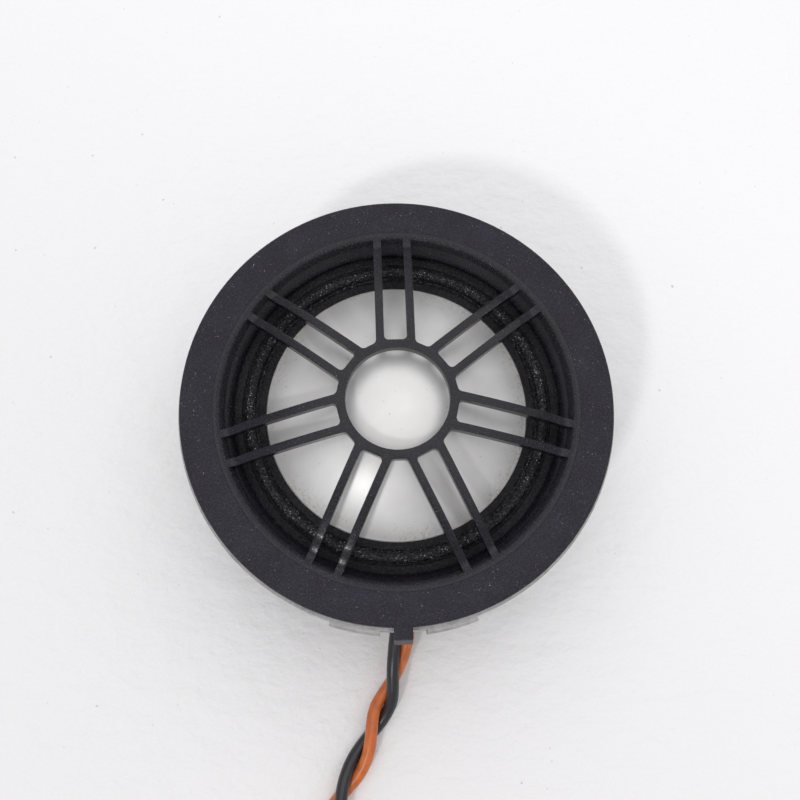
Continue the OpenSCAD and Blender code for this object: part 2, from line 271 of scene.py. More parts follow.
# Degrees round the coil: its two ends, and where the lead moves to lanes two and three.
COIL_FROM, COIL_TO, COIL_STEP = 160, 966, 15
LANE_TWO_AT, LANE_TWO_OVER = 470, 50
LANE_THREE_AT, LANE_THREE_OVER = 770, 60
HUMP_FROM, HUMP_TO, HUMP_OVER, HUMP_H = 800, 900, 40, 0.4


def ease(t):
    t = min(max(t, 0.0), 1.0)
    return t * t * (3 - 2 * t)


def coil_point(angle):
    """Lane one lies outside, lane two inside it, and lane three in the groove on top of them."""
    inner = LANE_R - LANE_STEP
    if angle < LANE_THREE_AT:
        r, z = LANE_R + (inner - LANE_R) * ease((angle - LANE_TWO_AT) / LANE_TWO_OVER), LANE_Z
    else:
        lift = math.radians(180 - 60 * ease((angle - LANE_THREE_AT) / LANE_THREE_OVER))
        r, z = LANE_R + LANE_STEP * math.cos(lift), LANE_Z + LANE_STEP * math.sin(lift)
        z += HUMP_H * ease((angle - HUMP_FROM) / HUMP_OVER) * ease((HUMP_TO - angle) / HUMP_OVER)
    a = math.radians(angle)
    return (COIL_AT[0] + r * math.cos(a), COIL_AT[1] + r * math.sin(a), z)


coil_route = [coil_point(a) for a in range(COIL_FROM, COIL_TO, COIL_STEP)]
knots = [Vector(p) for p in lead_route + coil_route + end_route]
print(len(knots), "knots along the lead")


# %% One smooth line, and equal steps along it
def smooth_line(points, step, fine=24):
    """A Catmull-Rom curve through the points, resampled at equal steps."""
    dense = []
    for i in range(len(points) - 1):
        a, b, c, d = (points[min(max(i + k, 0), len(points) - 1)] for k in (-1, 0, 1, 2))
        for k in range(fine):
            t = k / fine
            dense.append(0.5 * (2 * b + (c - a) * t + (2 * a - 5 * b + 4 * c - d) * t * t
                                + (3 * b - a - 3 * c + d) * t ** 3))
    dense.append(points[-1])
    line, gone = [dense[0]], 0.0
    for a, b in zip(dense, dense[1:]):
        span = (b - a).length
        while gone + span >= step:
            a = a.lerp(b, (step - gone) / span)
            span = (b - a).length
            gone = 0.0
            line.append(a)
        gone += span
    return line


STEP = 0.45
middle = smooth_line(knots, STEP)
pair_length = STEP * (len(middle) - 1)
print("the pair is", round(pair_length, 1), "mm long")

# %% The twist
# The wires cross where the twist has turned by these angles, at these distances from the exit.
crossings = [(0, 0), (0.8, 0), (6.4, 90), (12.3, 270), (19.3, 450)]
PITCH = 12.5
BLUR_STEP, BLUR_REACH = 0.35, 4
# The wires lie a hair apart, and spread towards the plug's two holes over the last millimetres.
AIR = 1.01
SPREAD_FROM, SPREAD_OVER = 7.5, 6.5
free = pair_length - crossings[-1][0]
turns_left = round((free / PITCH * 360 + 90) / 360) * 360 - 90


def twist_at(s):
    for (s0, a0), (s1, a1) in zip(crossings, crossings[1:]):
        if s <= s1:
            return a0 + (a1 - a0) * (s - s0) / (s1 - s0)
    return crossings[-1][1] + turns_left * (s - crossings[-1][0]) / free


def wire_points(side_sign):
    """One wire of the pair, -1 for the black one and 1 for the orange one, its twist blurred a little."""
    points = []
    for i, p in enumerate(middle):
        s = i * STEP
        d = (middle[min(i + 1, len(middle) - 1)] - middle[max(i - 1, 0)]).normalized()
        side = d.cross(Vector((0, 0, 1))).normalized()
        up = side.cross(d)
        near = [twist_at(s + k * BLUR_STEP) for k in range(-BLUR_REACH, BLUR_REACH + 1)]
        turn = math.radians(max(sum(near) / len(near), 0.0))
        offset = (math.cos(turn) * side + math.sin(turn) * up) * WIRE_D / 2 * AIR
        part = ease((s - (pair_length - SPREAD_FROM)) / SPREAD_OVER)
        offset = offset.lerp(side * PLUG_HOLE, part)
        points.append(p - side_sign * offset)
    return points


def length_of(points):
    return sum((b - a).length for a, b in zip(points, points[1:]))


wires = {"black_wire": wire_points(-1), "orange_wire": wire_points(1)}
for name, points in wires.items():
    print(name, round(length_of(points), 1), "mm, lowest middle", round(min(p.z for p in points), 2))


# %% Wires as curves with a round bevel
def wire(name, points, diameter, finish):
    curve = bpy.data.curves.new(name, "CURVE")
    curve.dimensions = "3D"
    curve.bevel_depth = diameter / 2 * MM
    curve.bevel_resolution = 5
    curve.use_fill_caps = True
    curve.materials.append(finish)
    spline = curve.splines.new("POLY")
    spline.points.add(len(points) - 1)
    for knot, p in zip(spline.points, points):
        knot.co = (*(p * MM), 1)
    return placed(name, curve)


def insulation(name, colour, gloss):
    """Soft extruded PVC: nearly even, with faint drag lines and rubbed patches."""
    f = Finish(name, colour, gloss)
    patches = f.noise(900, detail=3)
    drag = f.noise(5200, detail=2, place=f.stretched((1, 0.35, 1)))
    f.feed("Base Color", f.mix((patches * 0.75 + drag * 0.25).above(0.3, 0.7), *toned(colour, 0.8, 1.15)))
    f.feed("Roughness", gloss - 0.08 + 0.16 * patches)
    f.bump(drag * 0.5 + patches * 0.5, 0.02)
    return f.material


orange_finish = insulation("Orange insulation", (0.56, 0.135, 0.028), 0.36)
black_finish = insulation("Black insulation", (0.018, 0.017, 0.02), 0.34)
orange_wire = wire("orange_wire", wires["orange_wire"], WIRE_D, orange_finish)
black_wire = wire("black_wire", wires["black_wire"], WIRE_D, black_finish)

# %% [markdown]
# ## Turned shapes
# Almost everything in a loudspeaker is turned or moulded round one axis, so most pieces are a section
# revolved about it. A section is a list of corners, each with its own fillet radius: moulded and cast
# parts have no razor edges, and the fillets are what catches the light.

# %% Sections with filleted corners
FINE, ARC_STEPS = 224, 5


def section(*corners):
    """Corners (radius, height, fillet) in order round the section, with each fillet as a short arc."""
    outline = []
    for i, (x, z, fillet) in enumerate(corners):
        here = Vector((x, z))
        if not fillet:
            outline.append(here)
            continue
        before = (Vector(corners[i - 1][:2]) - here).normalized()
        after = (Vector(corners[(i + 1) % len(corners)][:2]) - here).normalized()
        half = before.angle(after) / 2
        centre = here + (before + after).normalized() * fillet / math.sin(half)
        start = here + before * fillet / math.tan(half) - centre
        end = here + after * fillet / math.tan(half) - centre
        turn = start.angle_signed(end)
        for k in range(ARC_STEPS + 1):
            outline.append(centre + Matrix.Rotation(-turn * k / ARC_STEPS, 2) @ start)
    return outline


def arc_points(cx, cz, r, start, end, steps):
    return [(cx + r * math.cos(math.radians(start + (end - start) * k / steps)),
             cz + r * math.sin(math.radians(start + (end - start) * k / steps))) for k in range(steps + 1)]


def mesh_from(bm, name):
    """The bmesh as a mesh. The bmesh is used up."""
    mesh = bpy.data.meshes.new(name)
    bm.to_mesh(mesh)
    bm.free()
    return mesh


def round_sharp(bm, angle, width, segments=3):
    """Rounds the edges that turn by more than angle degrees, by width millimetres."""
    sharp = [e for e in bm.edges if e.is_manifold and e.calc_face_angle() > math.radians(angle)]
    bmesh.ops.bevel(bm, geom=sharp, offset=width * MM, segments=segments, profile=0.5, affect="EDGES",
                    clamp_overlap=True)


def lathe(outline, steps=FINE):
    """The section turned round the axis into one closed mesh. Points on the axis become poles."""
    bm = bmesh.new()
    columns = []
    for k in range(steps):
        a = math.radians(360 * k / steps)
        columns.append([bm.verts.new(mm(p[0] * math.cos(a), p[0] * math.sin(a), p[1])) for p in outline])
    count = len(outline)
    for k in range(steps):
        left, right = columns[k], columns[(k + 1) % steps]
        for i in range(count):
            j = (i + 1) % count
            if outline[i][0] > 1e-6 or outline[j][0] > 1e-6:
                bm.faces.new((left[i], right[i], right[j], left[j]))
    bmesh.ops.remove_doubles(bm, verts=bm.verts, dist=1e-7)
    bmesh.ops.dissolve_degenerate(bm, edges=bm.edges, dist=1e-8)
    bmesh.ops.recalc_face_normals(bm, faces=bm.faces)
    return mesh_from(bm, "turned")


def made_plain(piece):
    """The evaluated object as a plain mesh, with its modifiers gone."""
    depsgraph = bpy.context.evaluated_depsgraph_get()
    mesh = bpy.data.meshes.new_from_object(piece.evaluated_get(depsgraph))
    bpy.data.objects.remove(piece)
    return mesh


def combined(mesh, *tools, operation="UNION"):
    """Joins or cuts closed meshes into one closed mesh."""
    for tool in tools:
        base, other = placed("work", mesh), placed("work", tool)
        cut = base.modifiers.new("cut", "BOOLEAN")
        cut.operation = operation
        cut.solver = "EXACT"
        cut.object = other
        mesh = made_plain(base)
        bpy.data.objects.remove(other)
    return mesh


def finished(mesh, name, finish, body, crease=38):
    """A mesh in metres becomes a piece: smooth but for its sharp edges, on its body, in its slot."""
    mesh.materials.clear()
    mesh.materials.append(finish)
    for polygon in mesh.polygons:
        polygon.use_smooth = True
        polygon.material_index = 0
    mesh.set_sharp_from_angle(angle=math.radians(crease))
    work = placed("work", mesh)
    flats = work.modifiers.new("flat faces stay flat", "WEIGHTED_NORMAL")
    flats.keep_sharp = True
    piece = placed("work", made_plain(work))
    piece.name = name
    if body:
        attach(piece, body)
    print(name, len(piece.data.polygons), "faces")
    return piece


print("a section can be turned, joined and cut")

# %% [markdown]
# ## Moulded black plastic
# The flange is moulded against a spark-eroded tool, so it has a fine matt grain. Its pale grains are
# partly dust and partly painted glints, light from facets painted into the colour. The grain is a height
# pattern for the bump and also stirs the roughness, because on black plastic nearly all of the light
# that comes back is gloss.

# %% The moulding's finish
def moulding(name, colour, rough, grain, depth, specks, cut_end=False, lip=False):
    """Grain is its size in millimetres, depth is its height, and specks is the share of pale grains, painted
    glints with some dust.

    With cut_end the tab's torn end is paler, and with lip the grain is deepest on the bowl's lip.
    """
    f = Finish(name, colour, rough, Specular_IOR_Level=0.3)
    fine = f.noise(1000 / grain, detail=3, rough=0.65)
    blotch = f.noise(350, detail=3)
    pits = f.cells(1000 / (grain * 2.6))
    # Pale grains: partly dust, partly painted glints where a facet of the grain catches the light.
    glints_and_dust = f.noise(1000 / grain * 1.5, detail=0).above(0.84 - specks, 0.93 - specks)
    glints_and_dust = glints_and_dust * f.noise(600, detail=1).above(0.42, 0.6)
    tone = f.mix((fine * 0.75 + blotch * 0.25).above(0.40, 0.62), *toned(colour, 0.5, 1.5))
    # Fainter grey grains: painted glints as well.
    faint_glints = f.noise(1000 / grain * 1.3, detail=1).above(0.56, 0.74)
    tone = f.mix(faint_glints * 0.3, tone, (0.10, 0.098, 0.102))
    tone = f.mix(glints_and_dust * 0.85, tone, (0.34, 0.33, 0.34))
    if cut_end:
        torn = (0 - f.along("Y")).above(0.02258, 0.02272)
        tone = f.mix(torn * (0.5 + 0.5 * fine), tone, (0.115, 0.112, 0.118))
    f.feed("Base Color", tone)
    f.feed("Roughness", rough + 0.24 * (fine - 0.5) + 0.10 * (blotch - 0.5) - 0.15 * glints_and_dust)
    height = fine * 0.7 + pits * 0.3
    if lip:
        r = f.radius()
        height = height * (0.3 + 2.4 * (r.above(0.0170, 0.0173) - r.above(0.0176, 0.0179)))
    f.bump(height, depth)
    return f.material


flange_finish = moulding("Sparked charcoal moulding", (0.0175, 0.0150, 0.0250), 0.5, 0.17, 0.18, 0.06,
                         cut_end=True)
grille_finish = moulding("Smoother charcoal moulding", (0.0080, 0.0068, 0.0125), 0.21, 0.16, 0.045, 0.03,
                         lip=True)
print("finishes:", flange_finish.name, "and", grille_finish.name)

# %% [markdown]
# ## Front flange
# A flat ring with a small outer radius and a hairline joint where the grille drops in. Its skirt
# sits inside the cast ring. One small tab stands out beside the lead, where the moulding was cut from
# its runner. The ring is turned, the tab is a filleted block, and a boolean joins them.

# %% Front flange
FLANGE_T = 1.6
RING_R, RING_WALL = 21.8, 1.3
flange_back = front_z - FLANGE_T
skirt_r, skirt_low = RING_R - RING_WALL - 0.2, flange_back - 2.9
joint_r = grille_r + 0.015
flange_section = section(
    (joint_r, flange_back, 0.1), (joint_r, front_z - 0.01, 0), (grille_r + 0.025, front_z, 0),
    (flange_r - 2.2, front_z, 0), (flange_r, front_z, 0.28), (flange_r, flange_back, 0.1),
    (skirt_r, flange_back, 0.05), (skirt_r, skirt_low, 0.2), (skirt_r - 1, skirt_low, 0.2),
    (skirt_r - 1, flange_back, 0.1))


def block(low, high, bevel, taper=None):
    """A filleted block between two corners in millimetres. taper moves its vertices first."""
    bm = bmesh.new()
    bmesh.ops.create_cube(bm, size=1)
    low, high = Vector(low), Vector(high)
    for v in bm.verts:
        v.co = Vector(((low[i] + high[i]) / 2 + v.co[i] * (high[i] - low[i]) for i in range(3)))
        if taper:
            taper(v.co)
        v.co *= MM
    bmesh.ops.bevel(bm, geom=list(bm.edges), offset=bevel * MM, segments=3, profile=0.5, affect="EDGES")
    return mesh_from(bm, "block")


def slope_end(co):
    """The tab's end leans out by 0.4 mm towards its back."""
    if co.y < -flange_r and co.z > front_z - 0.8:
        co.y += 0.4


tab = block((-1.0, -flange_r - 1.6, flange_back), (0.8, -flange_r + 1, front_z - 0.02), 0.13, slope_end)
flange = finished(combined(lathe(flange_section), tab), "flange_moulding", flange_finish, "housing")
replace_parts(flange, "front_flange")

# %% [markdown]
# ## Grille
# Seven pairs of thin arms run from a small hub to the bowl, and the hub is a fourteen-sided ring whose
# flats are square to the arms. All of it repeats fourteen times, so only one slice is drawn: half of
# one pair, as a flat strip of quads from the hub's hole to the rim. A Geometry Nodes tree mirrors the
# slice, turns seven copies of it and merges their seams. The flat star is then given its depth, its
# rounded edges and its arch.

# %% One flat slice of the star
PAIRS = 7
ARM_W, ARM_GAP, ARM_T = 0.8, 3.04, 1.1
HUB_HOLE_R, HUB_FLAT_R = 5.05, 5.9
NEAR, FAR = ARM_GAP / 2 - ARM_W / 2, ARM_GAP / 2 + ARM_W / 2
ARM_END, RAMP_R, KINK_R = 17.8, 14.8, 17.5
ARCH_R, ARCH_START_R = 47, 17.45
SLICE = math.pi / PAIRS
FILLET_IN, FILLET_OUT = 0.42, 0.5


def slice_edge():
    """The slice's outer edge round the hub, from the middle of the pair to the next pair."""
    across = Vector((math.cos(SLICE), math.sin(SLICE)))
    corner = Vector(((HUB_FLAT_R - FAR * math.sin(SLICE)) / math.cos(SLICE), FAR))
    reach = FILLET_OUT / math.tan((math.pi / 2 + SLICE) / 2)
    centre = corner + Vector((reach, FILLET_OUT))
    inner = [Vector((HUB_FLAT_R, y)) for y in (0, 0.25, 0.5)]
    inner += [Vector(p) for p in arc_points(HUB_FLAT_R + FILLET_IN, NEAR - FILLET_IN, FILLET_IN, 180, 90, 6)]
    root = inner[-1]
    tip = corner + Vector((reach, 0))
    neck = [root.lerp(tip, k / 3) for k in (1, 2)]
    outer = [Vector(p) for p in arc_points(*centre, FILLET_OUT, 270, 180 + math.degrees(SLICE), 6)]
    last = outer[-1]
    outer += [last.lerp(HUB_FLAT_R * across, k / 3) for k in (1, 2, 3)]
    return inner + neck + outer, len(inner) - 1


edge, root_at = slice_edge()
bm = bmesh.new()


def flat_vert(p):
    return bm.verts.new((p[0] * MM, p[1] * MM, 0))


rim = [flat_vert(p) for p in edge]
turns = [SLICE * i / (len(edge) - 1) for i in range(len(edge))]
ring_in = [flat_vert((HUB_HOLE_R * math.cos(t), HUB_HOLE_R * math.sin(t))) for t in turns]
for i in range(len(edge) - 1):
    bm.faces.new((ring_in[i], rim[i], rim[i + 1], ring_in[i + 1]))
row = rim[root_at:root_at + 4]
# Wide steps along the straight part of an arm, and narrow ones where the ramp bends.
stations = [6.6 + k * 0.6 for k in range(14)] + [14.7 + k * 0.15 for k in range(19)] + [ARM_END]
for x in stations:
    nxt = [flat_vert((x, NEAR + (FAR - NEAR) * k / 3)) for k in range(4)]
    for k in range(3):
        bm.faces.new((row[k], nxt[k], nxt[k + 1], row[k + 1]))
    row = nxt
slice_mesh = mesh_from(bm, "slice")
print("one slice has", len(slice_mesh.polygons), "quads")


# %% A small helper for Geometry Nodes trees
class Tree:
    """A Geometry Nodes tree with named inputs."""

    def __init__(self, name, **inputs):
        self.tree = bpy.data.node_groups.new(name, "GeometryNodeTree")
        face = self.tree.interface
        for way in ("INPUT", "OUTPUT"):
            face.new_socket("Geometry", in_out=way, socket_type="NodeSocketGeometry")
        self.ids = {}
        for title, (kind, value) in inputs.items():
            socket = face.new_socket(title.replace("_", " "), in_out="INPUT", socket_type="NodeSocket" + kind)
            if value is not None:
                socket.default_value = value
            self.ids[title] = socket.identifier
        self.start = self.tree.nodes.new("NodeGroupInput")
        self.end = self.tree.nodes.new("NodeGroupOutput")

    def node(self, kind, settings=(), values=(), out=0):
        return new_node(self.tree, kind, settings, values).outputs[out]

    def given(self, title):
        return self.start.outputs[title.replace("_", " ")]

    def run(self, mesh, geometry, **settings):
        """Realises the geometry, and returns what the tree makes of the mesh as a plain mesh."""
        real = self.node("GeometryNodeRealizeInstances", {}, {0: geometry})
        painted = self.node("GeometryNodeSetMaterial", {}, {0: real, "Material": self.given("Finish")})
        self.tree.links.new(painted, self.end.inputs[0])
        piece = placed("work", mesh)
        modifier = piece.modifiers.new("nodes", "NODES")
        modifier.node_group = self.tree
        for title, value in settings.items():
            modifier[self.ids[title]] = value
        return made_plain(piece)


def joined(tree, *parts):
    """The Join Geometry node takes all of its links on one socket."""
    node = tree.tree.nodes.new("GeometryNodeJoinGeometry")
    for part in parts:
        tree.tree.links.new(part, node.inputs[0])
    return node.outputs[0]


print("a tree takes a mesh and named inputs, and gives back a plain mesh")

# %% Mirror the slice and turn seven copies
star = Tree("Star of arms", Pairs=("Int", PAIRS), Finish=("Material", None))
half = star.start.outputs[0]
mirrored = star.node("GeometryNodeTransform", {}, {0: half, "Scale": (1, -1, 1)})
pair = joined(star, half, star.node("GeometryNodeFlipFaces", {}, {0: mirrored}))
circle = star.node("GeometryNodeMeshCircle", {}, {"Vertices": star.given("Pairs"), "Radius": 0.0})
index = star.node("GeometryNodeInputIndex")
share = star.node("ShaderNodeMath", {"operation": "DIVIDE"}, {0: index, 1: star.given("Pairs")})
angle = star.node("ShaderNodeMath", {"operation": "MULTIPLY_ADD"}, {0: share, 1: math.tau, 2: math.pi / 2})
spin = star.node("ShaderNodeCombineXYZ", {}, {"Z": angle})
copies = star.node("GeometryNodeInstanceOnPoints", {}, {"Points": circle, "Instance": pair,
                                                       "Rotation": spin})
whole = star.node("GeometryNodeRealizeInstances", {}, {0: copies})
seamless = star.node("GeometryNodeMergeByDistance", {}, {0: whole, "Distance": 0.01 * MM})
flat_star = star.run(slice_mesh, seamless, Pairs=PAIRS, Finish=grille_finish)
print("the flat star has", len(flat_star.polygons), "quads")


# %% Depth, rounded edges and the arch
def arch(r):
    """Height of the arms' front: an arch inside the ramp, and level with the flange outside it."""
    level = front_z - 0.03
    high = front_z + (ARCH_START_R ** 2 - r * r) / (2 * ARCH_R)
    return high + (level - high) * ease((r - RAMP_R) / (KINK_R - RAMP_R))


def deepened(mesh, depth, bevel):
    """A flat sheet becomes a slab with rounded edges."""
    bm = bmesh.new()
    bm.from_mesh(mesh)
    bmesh.ops.recalc_face_normals(bm, faces=bm.faces)
    if bm.faces[0].normal.z < 0:
        bmesh.ops.reverse_faces(bm, faces=bm.faces)
    low = bmesh.ops.duplicate(bm, geom=list(bm.verts) + list(bm.edges) + list(bm.faces))
    twins = low["vert_map"]
    copied = [f for f in low["geom"] if isinstance(f, bmesh.types.BMFace)]
    rims = [e for e in low["geom"] if isinstance(e, bmesh.types.BMEdge) and e.is_boundary]
    for f in copied:
        for v in f.verts:
            v.co.z = -depth * MM
    bmesh.ops.reverse_faces(bm, faces=copied)
    for e in rims:
        a, b = (twins[v] for v in e.verts)
        bm.faces.new((a, b, e.verts[1], e.verts[0]))
    bmesh.ops.recalc_face_normals(bm, faces=bm.faces)
    round_sharp(bm, 60, bevel)
    return mesh_from(bm, "slab")


arms = deepened(flat_star, ARM_T, 0.12)
for v in arms.vertices:
    v.co.z += arch(math.hypot(v.co.x, v.co.y) / MM) * MM
bowl_section = section(
    (grille_r, front_z, 0.012), (17.52, front_z, 0.45), (16.42, 15.5, 0.25),
    (16.36, 15.2, 0), (16.46, 14.95, 0.06), (17.3, 14.95, 0.06), (17.3, flange_back, 0.05),
    (grille_r, flange_back, 0.1))
bowl = lathe(bowl_section)
grille = finished(combined(bowl, arms), "grille_moulding", grille_finish, "housing")
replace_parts(grille, "grille")

# %% [markdown]
# ## Surround and dome
# The surround is a strip of coated cloth with one small roll, glued to the ring outside and to the
# dome's rim inside. It bends between the two when the dome moves. The damping coat dries in a bead of
# tiny grains. Their shine, and the paler bands where the roll faces the light, are painted highlights.
# The dome is a thin pressed shell of light metal, satin from its forming die, with
# a few old stains near the glue line.

# %% Surround
SEAT_Z, RIM_Z, CLOTH_T = 14.95, 14.2, 0.28


def cloth_line():
    low = RIM_Z + CLOTH_T
    points = [(13.2, low), (13.55, low), (13.9, low), (14.12, low - 0.12), (14.3, low - 0.02)]
    points += arc_points(14.82, SEAT_Z - 0.12, 0.5, 165, 15, 10)
    points += [(15.36, SEAT_Z - 0.2), (15.5, SEAT_Z - 0.14), (15.66, SEAT_Z), (16.2, SEAT_Z), (17.2, SEAT_Z)]
    return [Vector((x, 0, z)) for x, z in points]


front_line = [(p.x, p.z) for p in smooth_line(cloth_line(), 0.08)]
back_line = [(x, z - CLOTH_T) for x, z in reversed(front_line)]


def coated_cloth():
    f = Finish("Coated cloth", (0.006, 0.0055, 0.007), 0.5, Specular_IOR_Level=0.22)
    weave = f.noise(7000, detail=2, rough=0.6)
    beads = f.cells(5200)
    patches = f.noise(700, detail=3)
    r = f.radius()
    # Painted light: the two bands where the roll faces the light get paler crumbs and painted glints, and
    # away from them the coat is painted darker.
    lit_rings = r.above(0.0138, 0.0142) - r.above(0.0151, 0.0156)
    # Painted glints on the lit bands.
    glint = f.noise(8200, detail=0).above(0.70, 0.80) * patches.above(0.35, 0.6) * lit_rings
    crumb = (f.noise(4200, detail=3, rough=0.7).above(0.45, 0.62)) * (0.35 + 0.65 * lit_rings)
    tone = f.mix(crumb, (0.0030, 0.0028, 0.0045), (0.0300, 0.0275, 0.0330))
    f.feed("Base Color", f.mix(glint, tone, (0.42, 0.41, 0.40)))
    f.feed("Roughness", 0.56 - 0.22 * crumb + 0.1 * (weave - 0.5))
    f.bump(weave * 0.5 + beads * 0.5, 0.14)
    return f.material


cloth_finish = coated_cloth()
surround = finished(lathe(front_line + back_line), "surround_cloth", cloth_finish, None, 80)
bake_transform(surround)
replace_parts(surround, "surround")

# %% Dome
DOME_R, DOME_H, DOME_T = 13.2, 4.6, 0.25
ball_r = (DOME_R ** 2 + DOME_H ** 2) / (2 * DOME_H)
ball_z = RIM_Z + DOME_H - ball_r
rim_angle = math.degrees(math.asin(DOME_R / ball_r))
low_angle = math.degrees(math.asin((DOME_R - 0.2) / (ball_r - DOME_T)))
land_r = DOME_R + 0.62
shell = [(0, ball_z + ball_r)] + arc_points(0, ball_z, ball_r, 89, 90 - rim_angle, 40)
shell += [(DOME_R + 0.1, RIM_Z), (land_r, RIM_Z), (DOME_R + 0.65, RIM_Z - 0.1), (land_r, RIM_Z - 0.25)]
shell += arc_points(0, ball_z, ball_r - DOME_T, 90 - low_angle, 89, 20) + [(0, ball_z + ball_r - DOME_T)]


def dome_metal():
    f = Finish("Satin dome metal", (0.76, 0.755, 0.745), 0.42, 0.38)
    cloud = f.noise(230, detail=4)
    fine = f.noise(6500, detail=2)
    near_rim = f.radius().above(0.0108, 0.0133)
    stain = (f.noise(820, detail=5, rough=0.7) * (0.55 + 0.45 * near_rim)).above(0.47, 0.70) * near_rim
    ring = f.noise(1500, detail=1)
    tide = (ring.above(0.50, 0.54) - ring.above(0.54, 0.58)) * near_rim * cloud.above(0.42, 0.55)
    specks = f.noise(4300, detail=0).above(0.84, 0.88)
    hair = f.noise(900, detail=0, place=f.stretched((1.0, 0.12, 1)))
    scratch = (hair.above(0.498, 0.500) - hair.above(0.500, 0.502)) * f.noise(150, detail=1).above(0.5, 0.6)
    metal = f.mix(cloud.above(0.3, 0.75), (0.675, 0.665, 0.658), (0.750, 0.745, 0.738))
    metal = f.mix(stain * 0.6, metal, (0.50, 0.42, 0.33))
    metal = f.mix(tide * 0.55 + scratch * 0.5, metal, (0.36, 0.32, 0.28))
    f.feed("Base Color", f.mix(specks * 0.65, metal, (0.16, 0.13, 0.11)))
    f.feed("Roughness", 0.41 + 0.10 * (cloud - 0.5) + 0.14 * stain + 0.08 * (fine - 0.5))
    f.bump(fine * 0.6 + cloud * 0.4, 0.006)
    return f.material


dome = finished(lathe(shell), "dome_shell", dome_metal(), "diaphragm")
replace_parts(dome, "dome")
print("the dome's apex is at", round(ball_z + ball_r, 2), "mm")

# %% [markdown]
# ## Parts that keep the frame's own shape
# Cast, stamped and punched parts have their whole shape in the CAD model already. What the real ones
# add is that no edge is razor sharp and no face is perfectly even. So a copy of the mesh is welded, its
# flat triangles are joined into whole faces, its sharp edges are rounded, and it gets a worked finish.

# %% A softened copy of a CAD mesh
def softened(node, name, finish, width, segments=2):
    """A copy of a node's mesh with its edges rounded by width millimetres."""
    bm = bmesh.new()
    bm.from_mesh(frame["nodes"][node].data)
    bmesh.ops.remove_doubles(bm, verts=bm.verts, dist=2e-6)
    bmesh.ops.dissolve_limit(bm, angle_limit=math.radians(0.5), verts=bm.verts, edges=bm.edges)
    round_sharp(bm, 32, width, segments)
    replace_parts(finished(mesh_from(bm, name), name, finish, "housing"), node)


print("a CAD mesh can be softened")

# %% Worked metal
def worked_metal(name, colour, rough, metal=1.0, grain=0.3, depth=0.01, pull=(1, 1, 1), dull=0.25):
    """Grain in millimetres, drawn out along one axis where pull is small. Dull is how far stains go."""
    f = Finish(name, colour, rough, metal)
    fine = f.noise(1000 / grain, detail=3, rough=0.6, place=f.stretched(pull))
    cloud = f.noise(300, detail=3)
    stain = f.noise(700, detail=4, rough=0.65).above(0.5, 0.75)
    dark, pale, stained = toned(colour, 0.78, 1.12, 0.5)
    tone = f.mix((fine * 0.6 + cloud * 0.4).above(0.3, 0.7), dark, pale)
    f.feed("Base Color", f.mix(stain * dull, tone, stained))
    f.feed("Roughness", rough + 0.2 * (fine - 0.5) + 0.2 * stain)
    f.bump(fine, depth)
    return f.material


print("a worked metal has grain, clouds and stains")

# %% [markdown]
# ## Mounting ring
# The grey ring behind the flange is a zinc casting. Two short lugs below the lead's side hold it in its
# trim cup. A casting is dull and slightly pitted, with streaks along the way that it was tumbled.

# %% Mounting ring
cast = worked_metal("Tumbled zinc casting", (0.43, 0.425, 0.42), 0.5, 0.5, 0.35, 0.04, (1, 1, 0.4), 0.35)
softened("mounting_ring", "cast_ring", cast, 0.12)

# %% [markdown]
# ## Motor
# Under the dome sits the motor: a steel cup, a nickel-plated magnet disc and a steel top plate that
# leaves a narrow ring gap for the voice coil. They are turned parts, so each is a filleted section. The
# foam disc on the plate damps the air under the dome. It is soft, so it is crowned and its edge sinks.

# %% Steel cup, magnet and top plate
top_plate_top, yoke_floor = top_of("top_plate"), 3.4
cup_low, magnet_top = 1.6, top_of("magnet")
cup_r, magnet_r, plate_r, gap_r = radius_of("yoke_cup"), radius_of("magnet"), radius_of("top_plate"), 13.8
zinc_steel = worked_metal("Zinc-plated steel", (0.62, 0.61, 0.58), 0.3, 1.0, 0.6, 0.004)
nickel = worked_metal("Nickel plate", (0.72, 0.70, 0.66), 0.2, 1.0, 0.9, 0.003, dull=0.1)


def disc(radius, top, low, fillet):
    return lathe(section((0, top, 0), (radius, top, fillet), (radius, low, fillet), (0, low, 0)))


cup = finished(lathe(section((0, yoke_floor, 0), (gap_r, yoke_floor, 0.3), (gap_r, top_plate_top, 0.15),
                             (cup_r, top_plate_top, 0.25), (cup_r, cup_low, 0.5), (0, cup_low, 0))),
               "steel_cup", zinc_steel, "housing")
magnet = finished(disc(magnet_r, magnet_top, yoke_floor, 0.35), "magnet_disc", nickel, "housing")
plate = finished(disc(plate_r, top_plate_top, magnet_top, 0.15), "top_plate_disc", zinc_steel, "housing")
for piece, node in ((cup, "yoke_cup"), (magnet, "magnet"), (plate, "top_plate")):
    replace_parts(piece, node)
print("motor:", round(cup_r * 2, 1), "mm across,", round(top_plate_top - cup_low, 1), "mm deep")


# %% Foam disc
def foam():
    f = Finish("Open-cell foam", (0.045, 0.045, 0.05), 0.9, Specular_IOR_Level=0.2)
    # The pores are painted darker: painted shade in the foam's cells, besides their real dip in the bump.
    shaded_pores = f.cells(2600).above(0.1, 0.5)
    f.feed("Base Color", f.mix(shaded_pores, (0.015, 0.015, 0.018), (0.065, 0.065, 0.07)))
    f.bump(shaded_pores, 0.15)
    return f.material


